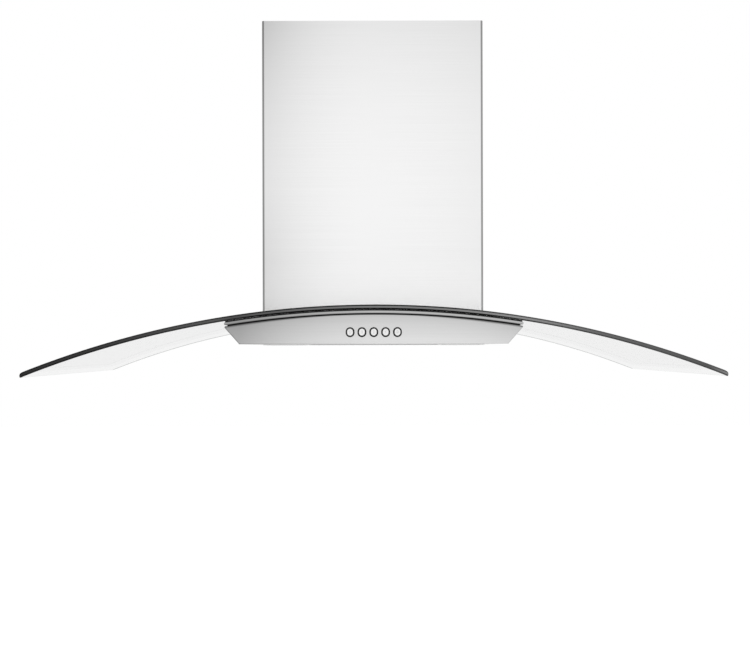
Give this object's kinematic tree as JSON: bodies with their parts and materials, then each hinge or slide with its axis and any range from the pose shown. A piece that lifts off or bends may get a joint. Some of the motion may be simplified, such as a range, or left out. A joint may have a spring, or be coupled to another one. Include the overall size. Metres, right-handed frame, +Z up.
{
  "type": "range hood",
  "caption": "Wall-mounted range hood with an arched glass canopy, a boat-shaped brushed steel body with push buttons, and a telescopic chimney over a twin-inlet blower.",
  "frame": {"origin": "centre of the wall bolt pattern, on the wall plane", "axes": "+Y into the wall, +X to the right as seen from the room, +Z up"},
  "size_m": [0.9, 0.5, 0.5256],
  "materials": {
    "canopy_glass": "clear, polished, grey at its edges",
    "gasket_rubber": "matt black",
    "lip_steel": "satin strip and folded frame",
    "body_steel": "brushed along its width",
    "panel_steel": "brushed along its width",
    "chimney_steel": "fine brushed, very pale",
    "zinc_sheet": "plain galvanised",
    "bezel_black": "gloss black",
    "button_satin": "satin silver white",
    "black_plastic": "fine grain",
    "white_plastic": "smooth",
    "flap_plastic": "smooth",
    "latch_plastic": "fine grain",
    "filter_aluminium": "satin",
    "filter_mesh_aluminium": "expanded metal",
    "lamp_chrome": "polished",
    "lamp_lens": "frosted",
    "motor_aluminium": "die cast",
    "shaft_steel": "ground"
  },
  "bodies": {
    "hood": {"glass_canopy": "canopy_glass", "glass_gasket": "gasket_rubber", "canopy_cradle": "lip_steel", "body_shell": "body_steel", "front_panel": "panel_steel", "button_bezels": "bezel_black", "switch_block": "black_plastic", "switch_bracket": "zinc_sheet", "lamp_driver": "white_plastic", "lamp_bezel_left": "lamp_chrome", "lamp_bezel_right": "lamp_chrome", "lamp_lens_left": "lamp_lens", "lamp_lens_right": "lamp_lens", "lamp_housing_left": "zinc_sheet", "lamp_housing_right": "zinc_sheet", "filter_hanger_left": "zinc_sheet", "filter_hanger_right": "zinc_sheet", "fan_box": "zinc_sheet", "scroll_band": "black_plastic", "scroll_side_left": "black_plastic", "scroll_side_right": "black_plastic", "inlet_ring_left": "black_plastic", "inlet_ring_right": "black_plastic", "motor": "motor_aluminium", "motor_bracket": "zinc_sheet", "outlet_adaptor": "black_plastic", "outlet_collar": "black_plastic", "damper_pin": "shaft_steel", "terminal_box": "black_plastic", "terminal_lid": "black_plastic", "cable_gland": "white_plastic", "capacitor": "white_plastic", "capacitor_clip": "zinc_sheet", "glass_clamp_frame": "zinc_sheet", "chimney_lower": "chimney_steel"},
    "upper_cover": {"chimney_upper": "chimney_steel", "chimney_bracket": "zinc_sheet"},
    "fan_wheel": {"impeller_plate": "zinc_sheet", "impeller_left": "zinc_sheet", "impeller_right": "zinc_sheet", "motor_shaft": "shaft_steel"},
    "rear_flap": {"damper_flap_rear": "flap_plastic"},
    "front_flap": {"damper_flap_front": "flap_plastic"},
    "grease_filter": {"filter_frame": "filter_aluminium", "filter_mesh": "filter_mesh_aluminium"},
    "filter_catch": {"filter_latch": "latch_plastic"},
    "button_lamp": {"button_lamp": "button_satin"},
    "button_speed_3": {"button_speed_3": "button_satin"},
    "button_speed_2": {"button_speed_2": "button_satin"},
    "button_speed_1": {"button_speed_1": "button_satin"},
    "button_off": {"button_off": "button_satin"}
  },
  "joints": [
    {"name": "button_lamp_press", "type": "slide", "parent": "hood", "child": "button_lamp", "axis": [0, 1, 0], "range_m": [0, 0.003], "stiffness_N_per_m": 400},
    {"name": "button_speed_3_press", "type": "slide", "parent": "hood", "child": "button_speed_3", "axis": [0, 1, 0], "range_m": [0, 0.003], "stiffness_N_per_m": 400},
    {"name": "button_speed_2_press", "type": "slide", "parent": "hood", "child": "button_speed_2", "axis": [0, 1, 0], "range_m": [0, 0.003], "stiffness_N_per_m": 400},
    {"name": "button_speed_1_press", "type": "slide", "parent": "hood", "child": "button_speed_1", "axis": [0, 1, 0], "range_m": [0, 0.003], "stiffness_N_per_m": 400},
    {"name": "button_off_press", "type": "slide", "parent": "hood", "child": "button_off", "axis": [0, 1, 0], "range_m": [0, 0.003], "stiffness_N_per_m": 400},
    {"name": "chimney_slide", "type": "slide", "parent": "hood", "child": "upper_cover", "axis": [0, 0, 1], "range_m": [0, 0.3]},
    {"name": "fan_spin", "type": "hinge", "parent": "hood", "child": "fan_wheel", "pos_m": [0, -0.122, -0.03], "axis": [1, 0, 0], "continuous": true},
    {"name": "damper_rear_swing", "type": "hinge", "parent": "hood", "child": "rear_flap", "pos_m": [0, -0.14, 0.1315], "axis": [1, 0, 0], "range_deg": [0, 75]},
    {"name": "damper_front_swing", "type": "hinge", "parent": "hood", "child": "front_flap", "pos_m": [0, -0.14, 0.1315], "axis": [-1, 0, 0], "range_deg": [0, 75]},
    {"name": "filter_swing", "type": "hinge", "parent": "hood", "child": "grease_filter", "pos_m": [0, -0.078, -0.174], "axis": [1, 0, 0], "range_deg": [0, 75]},
    {"name": "latch_slide", "type": "slide", "parent": "grease_filter", "child": "filter_catch", "axis": [0, -1, 0], "range_m": [0, 0.004]}
  ]
}
